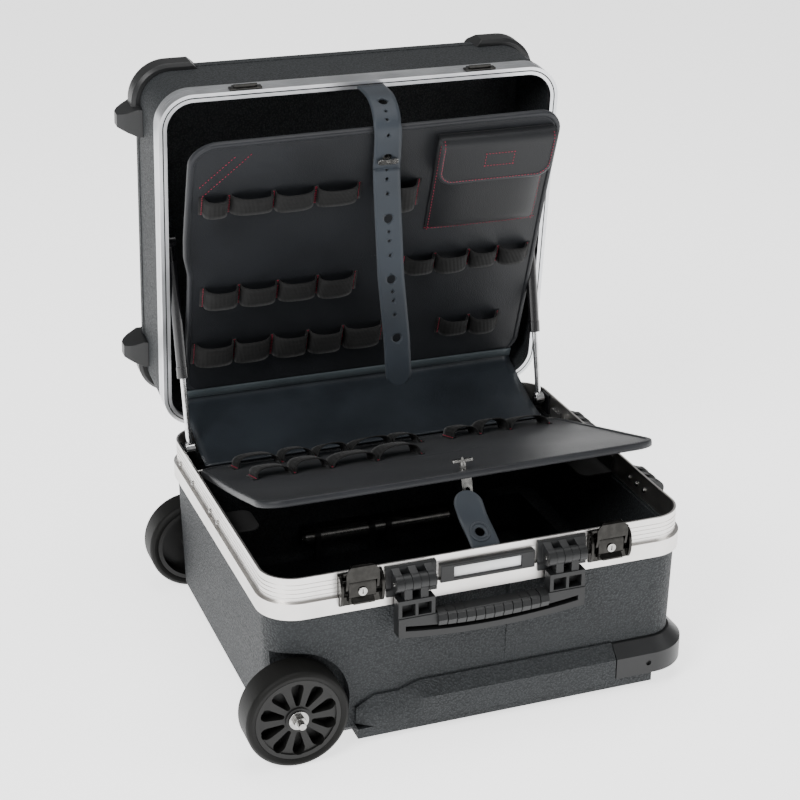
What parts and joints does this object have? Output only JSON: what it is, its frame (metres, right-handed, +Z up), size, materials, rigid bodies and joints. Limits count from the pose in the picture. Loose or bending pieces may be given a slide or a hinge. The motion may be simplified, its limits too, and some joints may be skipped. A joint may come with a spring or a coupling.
{
  "type": "wheeled hard tool case",
  "caption": "Wheeled hard tool case, open: moulded shells in aluminium frames, gas struts, two tool pallets, key latches, two handles, pull-out trolley grip.",
  "frame": {"origin": "centre of the lower shell's flat underside", "axes": "+Z up, -Y towards the front with the latches, +X towards the side with the pull-out grip"},
  "size_m": [0.5525, 0.5966, 0.6553],
  "materials": {
    "shell": "pebbled",
    "trim": "satin",
    "frame": "satin",
    "latch": "dark polished",
    "steel": "bright",
    "rubber": "matt",
    "tyre": "matt",
    "wheel": "satin",
    "strut": "gloss black",
    "leatherette": "satin",
    "elastic": "woven",
    "card": "paper white"
  },
  "bodies": {
    "base": {"base_shell": "shell", "base_frame": "frame", "frame_rivets": "steel", "rubber_feet": "rubber", "stub_axles": "steel", "axle_nuts": "steel", "trolley_fixed_tubes": "steel", "trolley_clamps": "trim", "hinge_leaves_base": "frame", "hinge_pins": "steel", "latch_plates": "latch", "handle_brackets": "trim", "handle_pins": "steel", "label_frame": "trim", "label_card": "card", "strut_feet": "strut", "base_pallet_seats": "strut", "base_strap": "leatherette", "pallet_flap": "leatherette"},
    "lid": {"hinge_leaves_lid": "frame", "lid_keepers": "latch", "lid_shell": "shell", "lid_frame": "frame", "lid_seal": "rubber", "lid_bumpers_left": "trim", "lid_bumpers_right": "trim", "strut_lid_studs": "strut", "lid_pallet_hanger": "steel"},
    "lid_pallet": {"lid_pallet_board": "leatherette", "lid_pallet_loops": "elastic", "lid_pocket": "leatherette", "lid_turnlock_post": "steel", "lid_strap": "leatherette"},
    "pocket_flap": {"lid_pocket_flap": "leatherette"},
    "lid_turnlock": {"lid_turnlock_wing": "steel"},
    "pallet_rod": {"base_pallet_rod": "steel"},
    "base_pallet": {"base_pallet_board": "leatherette", "base_pallet_loops": "elastic", "base_turnlock_post": "steel"},
    "base_turnlock": {"base_turnlock_wing": "steel"},
    "wheel_front": {"front_wheel": "wheel", "front_tyre": "tyre"},
    "wheel_rear": {"rear_wheel": "wheel", "rear_tyre": "tyre"},
    "trolley_stage": {"trolley_middle_tubes": "steel"},
    "trolley_handle": {"trolley_inner_tubes": "steel", "trolley_grip": "trim"},
    "release_button": {"trolley_button": "latch"},
    "latch_left": {"latch_lever_left": "latch"},
    "latch_right": {"latch_lever_right": "latch"},
    "hasp_left": {"latch_hasp_left": "latch"},
    "hasp_right": {"latch_hasp_right": "latch"},
    "lock_left": {"lock_barrel_left": "steel"},
    "lock_right": {"lock_barrel_right": "steel"},
    "handle_front": {"front_handle": "trim"},
    "handle_side": {"side_handle": "trim"},
    "rod_left": {"strut_rod_left": "steel"},
    "rod_right": {"strut_rod_right": "steel"},
    "cylinder_left": {"strut_cylinder_left": "strut"},
    "cylinder_right": {"strut_cylinder_right": "strut"}
  },
  "joints": [
    {"name": "lid_hinge", "type": "hinge", "parent": "base", "child": "lid", "pos_m": [0, 0.2165, 0.201], "axis": [-1, 0, 0], "range_deg": [-83.4, 0], "deforming": ["pallet_flap", "base_strap", "lid_strap"]},
    {"name": "strut_swing_left", "type": "hinge", "parent": "base", "child": "rod_left", "pos_m": [-0.2315, 0.166, 0.197], "axis": [-1, 0, 0], "range_deg": [-91.93, 0]},
    {"name": "strut_stroke_left", "type": "slide", "parent": "rod_left", "child": "cylinder_left", "axis": [0, 0.2063, 0.9785], "range_m": [-0.05881, 0]},
    {"name": "strut_swing_right", "type": "hinge", "parent": "base", "child": "rod_right", "pos_m": [0.2315, 0.166, 0.197], "axis": [-1, 0, 0], "range_deg": [-91.93, 0]},
    {"name": "strut_stroke_right", "type": "slide", "parent": "rod_right", "child": "cylinder_right", "axis": [0, 0.2063, 0.9785], "range_m": [-0.05881, 0]},
    {"name": "lid_pallet_hinge", "type": "hinge", "parent": "lid", "child": "lid_pallet", "pos_m": [0, 0.24286, 0.23073], "axis": [-1, 0, 0], "range_deg": [0, 14]},
    {"name": "base_pallet_hinge", "type": "hinge", "parent": "base", "child": "pallet_rod", "pos_m": [0, 0.129, 0.182], "axis": [-1, 0, 0], "range_deg": [-16.3, 0]},
    {"name": "base_pallet_lift", "type": "hinge", "parent": "pallet_rod", "child": "base_pallet", "pos_m": [0, 0.129, 0.182], "axis": [-1, 0, 0], "range_deg": [0, 40]},
    {"name": "pocket_flap_hinge", "type": "hinge", "parent": "lid_pallet", "child": "pocket_flap", "pos_m": [0.1395, 0.10903, 0.57356], "axis": [-1, 0, 0], "range_deg": [0, 80]},
    {"name": "lid_turnlock_turn", "type": "hinge", "parent": "lid_pallet", "child": "lid_turnlock", "pos_m": [0.003, 0.10708, 0.54932], "axis": [0, -0.9361, -0.3518], "range_deg": [0, 90]},
    {"name": "base_turnlock_turn", "type": "hinge", "parent": "base_pallet", "child": "base_turnlock", "pos_m": [0, -0.13937, 0.27611], "axis": [0, 0.2807, 0.9598], "range_deg": [0, 90]},
    {"name": "wheel_spin_front", "type": "hinge", "parent": "base", "child": "wheel_front", "pos_m": [-0.222, -0.216, 0.0495], "axis": [0, 1, 0], "continuous": true},
    {"name": "wheel_spin_rear", "type": "hinge", "parent": "base", "child": "wheel_rear", "pos_m": [-0.222, 0.216, 0.0495], "axis": [0, 1, 0], "continuous": true},
    {"name": "trolley_first_pull", "type": "slide", "parent": "base", "child": "trolley_stage", "axis": [1, 0, 0], "range_m": [0, 0.19]},
    {"name": "trolley_second_pull", "type": "slide", "parent": "trolley_stage", "child": "trolley_handle", "axis": [1, 0, 0], "range_m": [0, 0.19]},
    {"name": "release_press", "type": "slide", "parent": "trolley_handle", "child": "release_button", "axis": [-1, 0, 0], "range_m": [0, 0.004], "stiffness_N_per_m": 400},
    {"name": "latch_lift_left", "type": "hinge", "parent": "base", "child": "latch_left", "pos_m": [-0.145, -0.2165, 0.195], "axis": [-1, 0, 0], "range_deg": [0, 100]},
    {"name": "hasp_swing_left", "type": "hinge", "parent": "latch_left", "child": "hasp_left", "pos_m": [-0.145, -0.2185, 0.188], "axis": [-1, 0, 0], "range_deg": [-110, 0]},
    {"name": "lock_turn_left", "type": "hinge", "parent": "latch_left", "child": "lock_left", "pos_m": [-0.145, -0.2215, 0.184], "axis": [0, -1, 0], "range_deg": [0, 90]},
    {"name": "latch_lift_right", "type": "hinge", "parent": "base", "child": "latch_right", "pos_m": [0.145, -0.2165, 0.195], "axis": [-1, 0, 0], "range_deg": [0, 100]},
    {"name": "hasp_swing_right", "type": "hinge", "parent": "latch_right", "child": "hasp_right", "pos_m": [0.145, -0.2185, 0.188], "axis": [-1, 0, 0], "range_deg": [-110, 0]},
    {"name": "lock_turn_right", "type": "hinge", "parent": "latch_right", "child": "lock_right", "pos_m": [0.145, -0.2215, 0.184], "axis": [0, -1, 0], "range_deg": [0, 90]},
    {"name": "front_handle_swing", "type": "hinge", "parent": "base", "child": "handle_front", "pos_m": [0, -0.225, 0.187], "axis": [-1, 0, 0], "range_deg": [0, 100]},
    {"name": "side_handle_swing", "type": "hinge", "parent": "base", "child": "handle_side", "pos_m": [0.259, 0, 0.187], "axis": [0, -1, 0], "range_deg": [0, 100]}
  ],
  "couplings": [
    {"joint": "strut_swing_left", "follows": "lid_hinge", "ratio": 1.1023},
    {"joint": "strut_stroke_left", "follows": "lid_hinge", "m_per_rad": 0.0404},
    {"joint": "strut_swing_right", "follows": "lid_hinge", "ratio": 1.1023},
    {"joint": "strut_stroke_right", "follows": "lid_hinge", "m_per_rad": 0.0404},
    {"joint": "lid_pallet_hinge", "follows": "lid_hinge", "ratio": -0.16787},
    {"joint": "base_pallet_hinge", "follows": "lid_hinge", "ratio": 0.19544},
    {"joint": "hasp_swing_left", "follows": "latch_lift_left", "ratio": -1.1},
    {"joint": "hasp_swing_right", "follows": "latch_lift_right", "ratio": -1.1}
  ]
}
